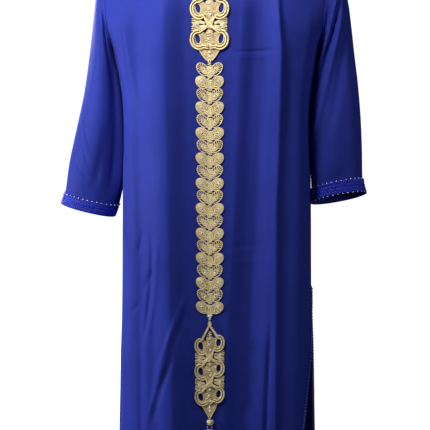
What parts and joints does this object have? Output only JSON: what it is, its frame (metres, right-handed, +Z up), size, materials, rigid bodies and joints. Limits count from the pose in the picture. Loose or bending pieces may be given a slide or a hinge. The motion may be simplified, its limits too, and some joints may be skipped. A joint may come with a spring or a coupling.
{
  "type": "djellaba",
  "caption": "Full-length blue djellaba, filled out as worn, with a hood on the back, side slits, braided cuffs and gold cord embroidery down the front.",
  "frame": {"origin": "middle of the neck hole at the height of the shoulder seams at the neck, where the wearer's shoulders hold the garment", "axes": "+Z up, the front faces -Y, +X towards the wearer's left"},
  "size_m": [0.7669, 0.3368, 1.4001],
  "materials": {
    "crepe": "royal blue polyester crepe with a soft sheen",
    "silk_braid": "royal blue woven rayon braid, tighter and glossier than the cloth",
    "gold_cord": "couched gold metallic cord with small clear crystals",
    "gold_knot": "knotted gold metallic cord button"
  },
  "bodies": {
    "root": {"front_panel": "crepe", "back_panel": "crepe", "sleeve_right": "crepe", "sleeve_left": "crepe", "hood": "crepe", "cuff_braid_right": "silk_braid", "cuff_braid_left": "silk_braid", "front_slit_braid_right": "silk_braid", "front_slit_braid_left": "silk_braid", "slit_braid_front_right": "silk_braid", "slit_braid_front_left": "silk_braid", "slit_braid_back_left": "silk_braid", "slit_braid_back_right": "silk_braid", "embroidery_neck": "gold_cord", "embroidery_strip": "gold_cord", "embroidery_lower": "gold_cord", "knot_button_1": "gold_knot", "knot_button_2": "gold_knot"}
  },
  "joints": []
}
